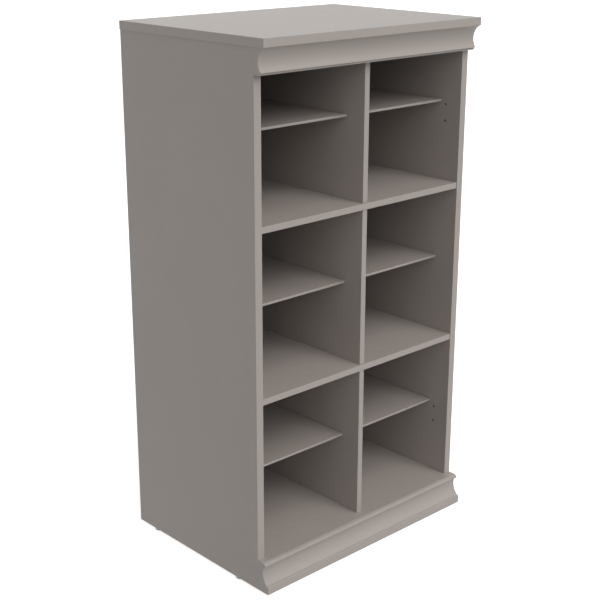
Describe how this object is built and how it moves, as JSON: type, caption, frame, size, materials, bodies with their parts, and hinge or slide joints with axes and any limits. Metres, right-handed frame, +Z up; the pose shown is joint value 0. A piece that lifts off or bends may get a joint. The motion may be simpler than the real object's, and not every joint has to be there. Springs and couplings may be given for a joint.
{
  "type": "closet organizer tower",
  "caption": "Freestanding closet and shoe organizer tower: a taupe board cabinet with divided rows, loose thin shelves, a coved crown and plinth moulding and pilot holes for door hinges.",
  "frame": {"origin": "middle of the footprint, on the floor under the glides", "axes": "+Z up, front at -Y, back panel at +Y, +X to the right of someone facing the front"},
  "size_m": [0.546, 0.401, 1.0199],
  "materials": {
    "taupe_board": "smooth matte taupe melamine on particle board",
    "taupe_moulding": "matte taupe foil wrapped on fibreboard",
    "thin_board": "matte taupe painted hardboard",
    "back_board": "hardboard, taupe paint inside, plain brown outside",
    "beech": "plain fluted dowel",
    "zinc_steel": "bright zinc plate",
    "light_plastic": "moulded light grey plastic"
  },
  "bodies": {
    "cabinet": {"left_side_panel": "taupe_board", "right_side_panel": "taupe_board", "top_panel": "taupe_board", "floor_panel": "taupe_board", "lower_fixed_shelf": "taupe_board", "upper_fixed_shelf": "taupe_board", "lower_divider": "taupe_board", "middle_divider": "taupe_board", "upper_divider": "taupe_board", "back_panel": "back_board", "crown_moulding": "taupe_moulding", "base_moulding": "taupe_moulding", "shelf_pins": "zinc_steel", "shelf_cam_locks": "zinc_steel", "shelf_cam_bolts": "zinc_steel", "top_cam_locks": "zinc_steel", "top_cam_bolts": "zinc_steel", "frame_dowels": "beech", "divider_dowels": "beech", "moulding_dowels": "beech", "divider_screws": "zinc_steel", "corner_blocks": "light_plastic", "corner_block_screws": "zinc_steel", "back_panel_nails": "zinc_steel", "floor_glides": "light_plastic", "glide_nails": "zinc_steel"},
    "top_left_shelf": {"top_left_shelf": "thin_board"},
    "top_right_shelf": {"top_right_shelf": "thin_board"},
    "middle_left_shelf": {"middle_left_shelf": "thin_board"},
    "middle_right_shelf": {"middle_right_shelf": "thin_board"},
    "bottom_left_shelf": {"bottom_left_shelf": "thin_board"},
    "bottom_right_shelf": {"bottom_right_shelf": "thin_board"}
  },
  "joints": [
    {"name": "top_left_shelf_slide", "type": "slide", "parent": "cabinet", "child": "top_left_shelf", "axis": [0, -1, 0], "range_m": [0, 0.4]},
    {"name": "top_right_shelf_slide", "type": "slide", "parent": "cabinet", "child": "top_right_shelf", "axis": [0, -1, 0], "range_m": [0, 0.4]},
    {"name": "middle_left_shelf_slide", "type": "slide", "parent": "cabinet", "child": "middle_left_shelf", "axis": [0, -1, 0], "range_m": [0, 0.4]},
    {"name": "middle_right_shelf_slide", "type": "slide", "parent": "cabinet", "child": "middle_right_shelf", "axis": [0, -1, 0], "range_m": [0, 0.4]},
    {"name": "bottom_left_shelf_slide", "type": "slide", "parent": "cabinet", "child": "bottom_left_shelf", "axis": [0, -1, 0], "range_m": [0, 0.4]},
    {"name": "bottom_right_shelf_slide", "type": "slide", "parent": "cabinet", "child": "bottom_right_shelf", "axis": [0, -1, 0], "range_m": [0, 0.4]}
  ]
}
